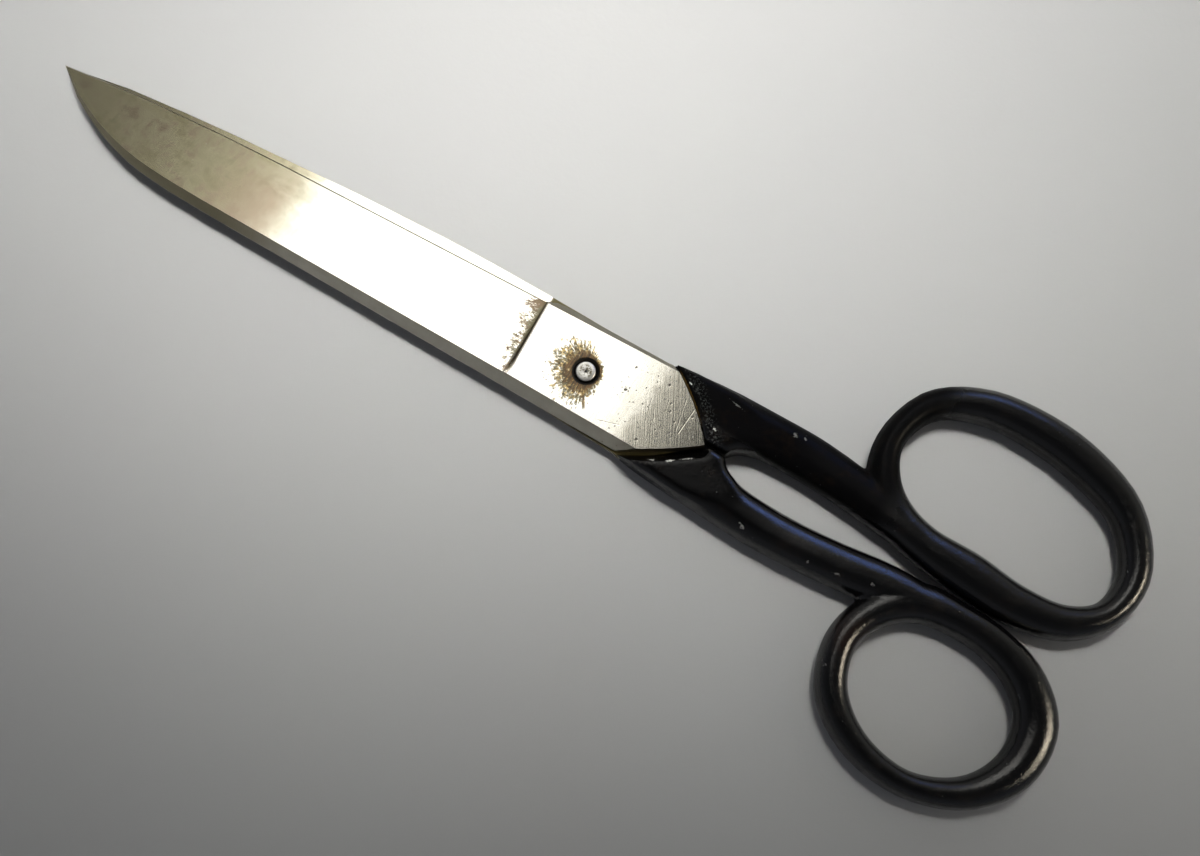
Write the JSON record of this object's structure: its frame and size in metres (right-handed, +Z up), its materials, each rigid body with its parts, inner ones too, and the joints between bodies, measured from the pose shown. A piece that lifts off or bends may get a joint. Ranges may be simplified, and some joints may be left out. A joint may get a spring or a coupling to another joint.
{
  "type": "office scissors",
  "caption": "Closed office scissors: two steel blades crossed on a pivot screw, with black lacquered handles, an oval finger bow and a round thumb bow.",
  "frame": {"origin": "under the middle of the closed scissors, on the surface that they lie on; the pivot stands at x = -5.8 mm, y = 0.9 mm", "axes": "+X along the blades to the tip, +Y to the thumb bow's side, +Z up, away from the surface, on the side where the pivot screw's riveted end shows"},
  "size_m": [0.2039, 0.0673, 0.0072],
  "materials": {
    "blade_steel": "ground steel, worn, lightly tarnished and rust stained round the pivot",
    "handle_lacquer": "thick glossy black baked lacquer with small chips",
    "pivot_steel": "bright worn steel, scratched"
  },
  "bodies": {
    "lower_half": {"lower_blade": "blade_steel", "lower_handle": "handle_lacquer"},
    "upper_half": {"upper_blade": "blade_steel", "upper_handle": "handle_lacquer", "pivot_screw": "pivot_steel"}
  },
  "joints": [
    {"name": "pivot", "type": "hinge", "parent": "lower_half", "child": "upper_half", "pos_m": [-0.0058, 0.0009, 0.0034], "axis": [0, 0, 1], "range_deg": [0, 90]}
  ]
}
